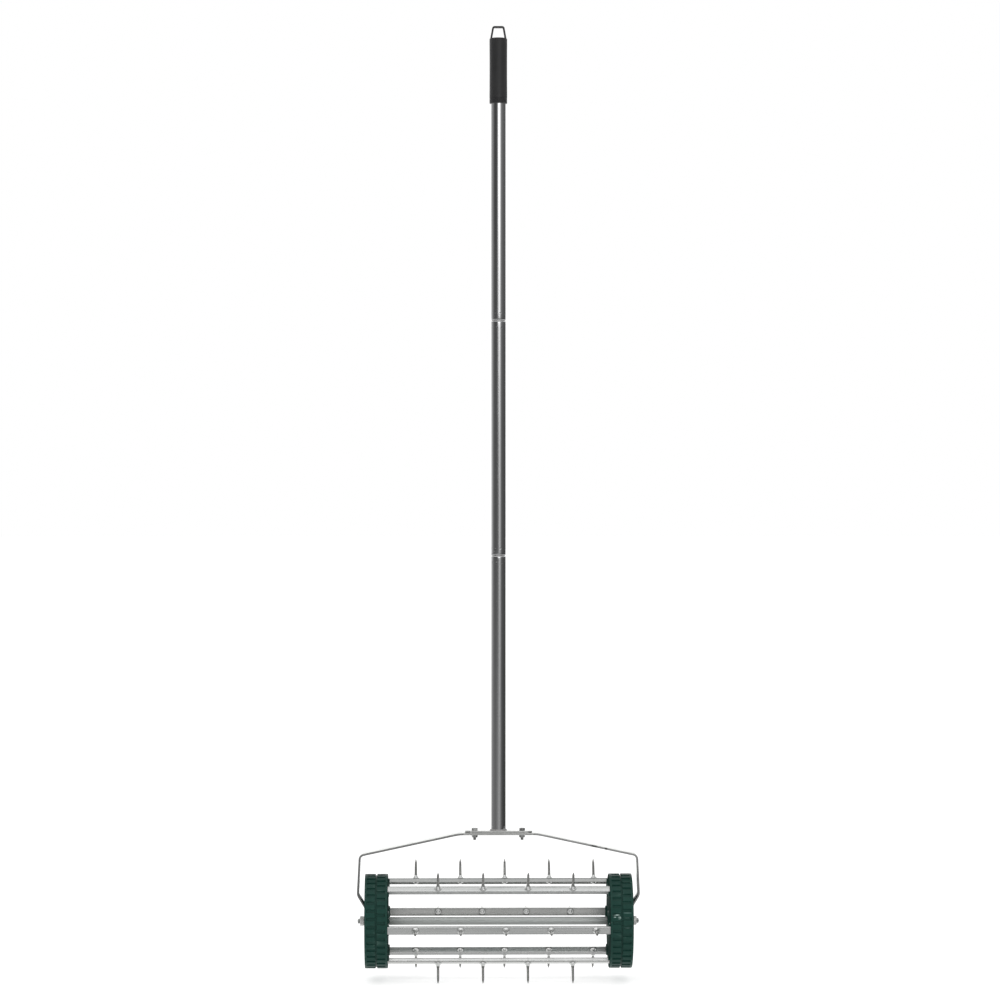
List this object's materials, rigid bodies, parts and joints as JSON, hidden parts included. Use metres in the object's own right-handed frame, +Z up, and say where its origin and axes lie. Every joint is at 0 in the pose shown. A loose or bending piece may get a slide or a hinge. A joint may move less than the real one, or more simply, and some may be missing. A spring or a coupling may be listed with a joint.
{
  "type": "core aerator",
  "caption": "Rolling lawn spike aerator: spiked bars between two plastic wheels turn on an axle held by a bent strip yoke, on a long three-piece tube handle with grip and hanging eye.",
  "frame": {"origin": "on the ground under the middle of the roller, where the handle's centre line meets the level of the lowest spike tips", "axes": "+Z up along the handle, X along the axle (+X to the right seen from the front), -Y towards the front"},
  "size_m": [0.421, 0.192, 1.4226],
  "materials": {
    "tube_steel": "bright drawn steel tube, smooth, long soft reflections",
    "joint_steel": "turned steel, satin",
    "zinc_strip": "zinc plated flat strip, satin with faint cloudy spangle",
    "bar_steel": "zinc plated folded sheet, satin",
    "spike_steel": "bright zinc plated, turned",
    "axle_steel": "zinc plated rod with threaded ends",
    "fastener_steel": "zinc plated fasteners",
    "grip_plastic": "black moulded plastic, low sheen",
    "wheel_plastic": "dark green moulded plastic, soft sheen, light scuffs"
  },
  "bodies": {
    "handle_frame": {"yoke_strap": "zinc_strip", "foot_plate": "zinc_strip", "handle_tube_lower": "tube_steel", "handle_tube_middle": "tube_steel", "handle_tube_upper": "tube_steel", "joint_socket_lower": "joint_steel", "joint_screw_lower": "joint_steel", "joint_socket_upper": "joint_steel", "joint_screw_upper": "joint_steel", "hand_grip": "grip_plastic", "plate_bolt_left": "fastener_steel", "plate_bolt_right": "fastener_steel", "plate_nut_left": "fastener_steel", "plate_nut_right": "fastener_steel", "thrust_washer_left": "fastener_steel", "thrust_washer_right": "fastener_steel", "axle_washer_left": "fastener_steel", "axle_washer_right": "fastener_steel", "axle_nut_left": "fastener_steel", "axle_nut_right": "fastener_steel", "axle_rod": "axle_steel"},
    "roller": {"wheel_left": "wheel_plastic", "wheel_right": "wheel_plastic", "spacer_tube": "axle_steel", "bar_front": "bar_steel", "bar_front_upper": "bar_steel", "bar_rear_upper": "bar_steel", "bar_rear": "bar_steel", "bar_rear_lower": "bar_steel", "bar_front_lower": "bar_steel", "spike_front_1": "spike_steel", "spike_front_2": "spike_steel", "spike_front_3": "spike_steel", "spike_front_4": "spike_steel", "spike_front_5": "spike_steel", "spike_front_upper_1": "spike_steel", "spike_front_upper_2": "spike_steel", "spike_front_upper_3": "spike_steel", "spike_front_upper_4": "spike_steel", "spike_rear_upper_1": "spike_steel", "spike_rear_upper_2": "spike_steel", "spike_rear_upper_3": "spike_steel", "spike_rear_upper_4": "spike_steel", "spike_rear_upper_5": "spike_steel", "spike_rear_1": "spike_steel", "spike_rear_2": "spike_steel", "spike_rear_3": "spike_steel", "spike_rear_4": "spike_steel", "spike_rear_lower_1": "spike_steel", "spike_rear_lower_2": "spike_steel", "spike_rear_lower_3": "spike_steel", "spike_rear_lower_4": "spike_steel", "spike_rear_lower_5": "spike_steel", "spike_front_lower_1": "spike_steel", "spike_front_lower_2": "spike_steel", "spike_front_lower_3": "spike_steel", "spike_front_lower_4": "spike_steel"}
  },
  "joints": [
    {"name": "roller_spin", "type": "hinge", "parent": "handle_frame", "child": "roller", "pos_m": [0, 0, 0.08836], "axis": [1, 0, 0], "continuous": true}
  ]
}
